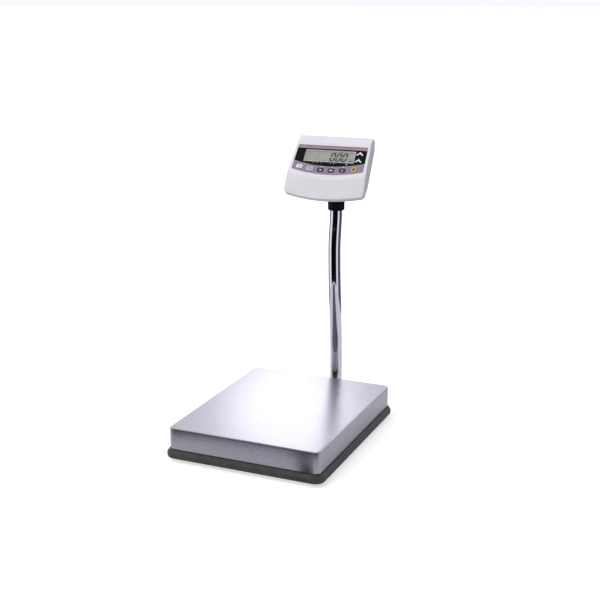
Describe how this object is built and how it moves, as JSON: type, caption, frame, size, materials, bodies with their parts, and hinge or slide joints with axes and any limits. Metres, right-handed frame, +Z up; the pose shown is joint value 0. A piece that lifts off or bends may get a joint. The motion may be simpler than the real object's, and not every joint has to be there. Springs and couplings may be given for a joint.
{
  "type": "animal weighing scale",
  "caption": "Bench platform scale: stainless pan on a load cell and low base, with a tilting digital indicator on a chrome column behind it.",
  "frame": {"origin": "on the floor, at the middle of the scale's footprint (bumper front to the rear end of the column arm)", "axes": "+Z up; -Y towards the user, who faces the display; +X to the user's right"},
  "size_m": [0.428, 0.675, 0.7546],
  "materials": {
    "pan_stainless": "satin, fine grain",
    "column_chrome": "bright chrome plating",
    "charcoal_paint": "textured powder coat",
    "bumper_rubber": "matt moulded",
    "foot_rubber": "matt moulded",
    "zinc_hardware": "bright zinc plate",
    "cell_aluminium": "milled",
    "spider_aluminium": "cast",
    "white_abs": "fine moulded",
    "black_abs": "fine moulded",
    "overlay_film": "printed film",
    "window_clear": "clear",
    "vial_clear": "clear",
    "lcd_glass": "display cell",
    "board_green": "solder resist",
    "battery_wrap": "shrink wrap",
    "key_light": "printed key",
    "key_dark": "printed key",
    "key_yellow": "printed key",
    "cable_pvc": "matt sheath"
  },
  "bodies": {
    "base": {"base_frame": "charcoal_paint", "base_bumper": "bumper_rubber", "load_cell": "cell_aluminium", "cell_lower_spacer": "zinc_hardware", "cell_lower_bolt_1": "zinc_hardware", "cell_lower_bolt_2": "zinc_hardware", "overload_stop_front_left": "zinc_hardware", "overload_stop_front_right": "zinc_hardware", "overload_stop_rear_left": "zinc_hardware", "overload_stop_rear_right": "zinc_hardware", "foot_nut_front_left": "zinc_hardware", "foot_nut_front_right": "zinc_hardware", "foot_nut_rear_left": "zinc_hardware", "foot_nut_rear_right": "zinc_hardware", "level_holder": "black_abs", "level_vial": "vial_clear", "column_arm": "charcoal_paint", "arm_bolt_1": "zinc_hardware", "arm_bolt_2": "zinc_hardware", "column_socket": "charcoal_paint", "socket_screw": "zinc_hardware", "column_tube": "column_chrome", "load_cell_cable": "cable_pvc"},
    "foot_front_left": {"leveling_foot_front_left": "foot_rubber"},
    "foot_front_right": {"leveling_foot_front_right": "foot_rubber"},
    "foot_rear_left": {"leveling_foot_rear_left": "foot_rubber"},
    "foot_rear_right": {"leveling_foot_rear_right": "foot_rubber"},
    "weighing_frame": {"spider_frame": "spider_aluminium", "cell_upper_spacer": "zinc_hardware", "cell_upper_bolt_1": "zinc_hardware", "cell_upper_bolt_2": "zinc_hardware", "pan_cushion_front_left": "foot_rubber", "pan_cushion_front_right": "foot_rubber", "pan_cushion_rear_left": "foot_rubber", "pan_cushion_rear_right": "foot_rubber"},
    "pan": {"platform_pan": "pan_stainless"},
    "neck": {"neck_bracket": "black_abs", "neck_clamp_screw": "black_abs", "neck_grommet": "foot_rubber"},
    "indicator": {"indicator_front_shell": "white_abs", "indicator_rear_shell": "white_abs", "face_overlay": "overlay_film", "display_window": "window_clear", "lcd_module": "lcd_glass", "main_board": "board_green", "battery_pack": "battery_wrap", "power_inlet": "black_abs", "head_lead": "cable_pvc", "tilt_screw_left": "zinc_hardware", "tilt_screw_right": "zinc_hardware", "shell_screw_1": "zinc_hardware", "shell_screw_2": "zinc_hardware", "shell_screw_3": "zinc_hardware", "shell_screw_4": "zinc_hardware"},
    "key_1_cap": {"key_1": "key_light"},
    "key_2_cap": {"key_2": "key_light"},
    "key_3_cap": {"key_3": "key_dark"},
    "key_4_cap": {"key_4": "key_dark"},
    "key_5_cap": {"key_5": "key_dark"},
    "key_6_round_cap": {"key_6_round": "key_yellow"}
  },
  "joints": [
    {"name": "foot_front_left_height", "type": "slide", "parent": "base", "child": "foot_front_left", "axis": [0, 0, -1], "range_m": [-0.003, 0.008]},
    {"name": "foot_front_right_height", "type": "slide", "parent": "base", "child": "foot_front_right", "axis": [0, 0, -1], "range_m": [-0.003, 0.008]},
    {"name": "foot_rear_left_height", "type": "slide", "parent": "base", "child": "foot_rear_left", "axis": [0, 0, -1], "range_m": [-0.003, 0.008]},
    {"name": "foot_rear_right_height", "type": "slide", "parent": "base", "child": "foot_rear_right", "axis": [0, 0, -1], "range_m": [-0.003, 0.008]},
    {"name": "weigh_travel", "type": "slide", "parent": "base", "child": "weighing_frame", "axis": [0, 0, -1], "range_m": [0, 0.001], "stiffness_N_per_m": 500000, "deforming": ["load_cell"]},
    {"name": "pan_lift", "type": "slide", "parent": "weighing_frame", "child": "pan", "axis": [0, 0, 1], "range_m": [0, 0.12]},
    {"name": "indicator_swivel", "type": "hinge", "parent": "base", "child": "neck", "pos_m": [0, 0.2895, 0.575], "axis": [0, 0, 1], "range_deg": [-170, 170]},
    {"name": "indicator_tilt", "type": "hinge", "parent": "neck", "child": "indicator", "pos_m": [0, 0.2895, 0.645], "axis": [1, 0, 0], "range_deg": [-20, 18]},
    {"name": "key_1_press", "type": "slide", "parent": "indicator", "child": "key_1_cap", "axis": [0, 0.788, -0.6157], "range_m": [0, 0.001], "stiffness_N_per_m": 900, "springref_m": -0.0002},
    {"name": "key_2_press", "type": "slide", "parent": "indicator", "child": "key_2_cap", "axis": [0, 0.788, -0.6157], "range_m": [0, 0.001], "stiffness_N_per_m": 900, "springref_m": -0.0002},
    {"name": "key_3_press", "type": "slide", "parent": "indicator", "child": "key_3_cap", "axis": [0, 0.788, -0.6157], "range_m": [0, 0.001], "stiffness_N_per_m": 900, "springref_m": -0.0002},
    {"name": "key_4_press", "type": "slide", "parent": "indicator", "child": "key_4_cap", "axis": [0, 0.788, -0.6157], "range_m": [0, 0.001], "stiffness_N_per_m": 900, "springref_m": -0.0002},
    {"name": "key_5_press", "type": "slide", "parent": "indicator", "child": "key_5_cap", "axis": [0, 0.788, -0.6157], "range_m": [0, 0.001], "stiffness_N_per_m": 900, "springref_m": -0.0002},
    {"name": "key_6_round_press", "type": "slide", "parent": "indicator", "child": "key_6_round_cap", "axis": [0, 0.788, -0.6157], "range_m": [0, 0.001], "stiffness_N_per_m": 900, "springref_m": -0.0002}
  ]
}
